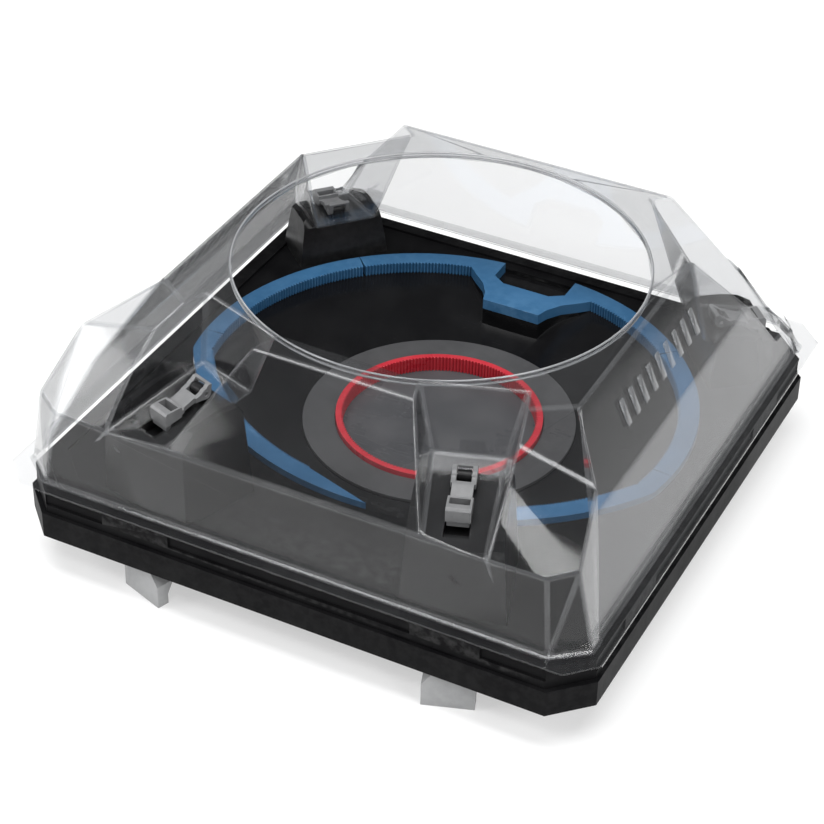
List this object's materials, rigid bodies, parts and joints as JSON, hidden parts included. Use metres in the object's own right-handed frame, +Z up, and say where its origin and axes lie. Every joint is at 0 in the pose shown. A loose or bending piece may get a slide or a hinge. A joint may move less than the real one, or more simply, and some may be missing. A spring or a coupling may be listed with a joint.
{
  "type": "covered spinning top stadium",
  "caption": "Square battle stadium for spinning tops: dished arena with toothed rails under a clear faceted cover held by snap latches.",
  "frame": {"origin": "middle of the footprint, on the surface that the legs stand on", "axes": "+Z up, +X to the right and +Y to the back, seen from the side with the two nearer latches; +X mirrors to -X except for the near rails' ends"},
  "size_m": [0.442, 0.442, 0.1925],
  "materials": {
    "tray_black": "satin moulded ABS",
    "bowl_black": "polished ABS",
    "floor_grey": "fine matte ABS",
    "dish_grey": "fine matte ABS",
    "ring_red": "semi-gloss POM",
    "rail_blue": "semi-gloss POM",
    "cover_clear": "thermoformed clear sheet",
    "tower_black": "glossy ABS",
    "latch_grey": "satin ABS",
    "pin_steel": "drawn steel rod",
    "leg_grey": "satin ABS",
    "screw_steel": "zinc plated steel"
  },
  "bodies": {
    "stadium": {"base_tray": "tray_black", "bowl": "bowl_black", "floor_disc": "floor_grey", "centre_dish": "dish_grey", "centre_ring": "ring_red", "rail_back": "rail_blue", "rail_left": "rail_blue", "rail_right": "rail_blue", "rail_front_left": "rail_blue", "rail_front_right": "rail_blue", "clear_cover": "cover_clear", "tower_front_left": "tower_black", "tower_front_right": "tower_black", "tower_back_left": "tower_black", "tower_back_right": "tower_black", "latch_pin_front_left": "pin_steel", "latch_pin_front_right": "pin_steel", "latch_pin_back_left": "pin_steel", "latch_pin_back_right": "pin_steel", "leg_front_left": "leg_grey", "leg_front_right": "leg_grey", "leg_back_left": "leg_grey", "leg_back_right": "leg_grey", "rail_screws": "screw_steel", "dish_screws": "screw_steel", "corner_screws": "screw_steel"},
    "latch_front_left": {"latch_front_left": "latch_grey"},
    "latch_front_right": {"latch_front_right": "latch_grey"},
    "latch_back_left": {"latch_back_left": "latch_grey"},
    "latch_back_right": {"latch_back_right": "latch_grey"}
  },
  "joints": [
    {"name": "latch_front_left_hinge", "type": "hinge", "parent": "stadium", "child": "latch_front_left", "pos_m": [-0.099, -0.152, 0.1485], "axis": [-0.9438, 0.3305, 0], "range_deg": [0, 95]},
    {"name": "latch_front_right_hinge", "type": "hinge", "parent": "stadium", "child": "latch_front_right", "pos_m": [0.099, -0.152, 0.1485], "axis": [-0.9438, -0.3305, 0], "range_deg": [0, 95]},
    {"name": "latch_back_left_hinge", "type": "hinge", "parent": "stadium", "child": "latch_back_left", "pos_m": [-0.158, 0.15, 0.1115], "axis": [0.66, 0.7513, 0], "range_deg": [0, 95]},
    {"name": "latch_back_right_hinge", "type": "hinge", "parent": "stadium", "child": "latch_back_right", "pos_m": [0.158, 0.15, 0.1115], "axis": [0.66, -0.7513, 0], "range_deg": [0, 95]}
  ]
}
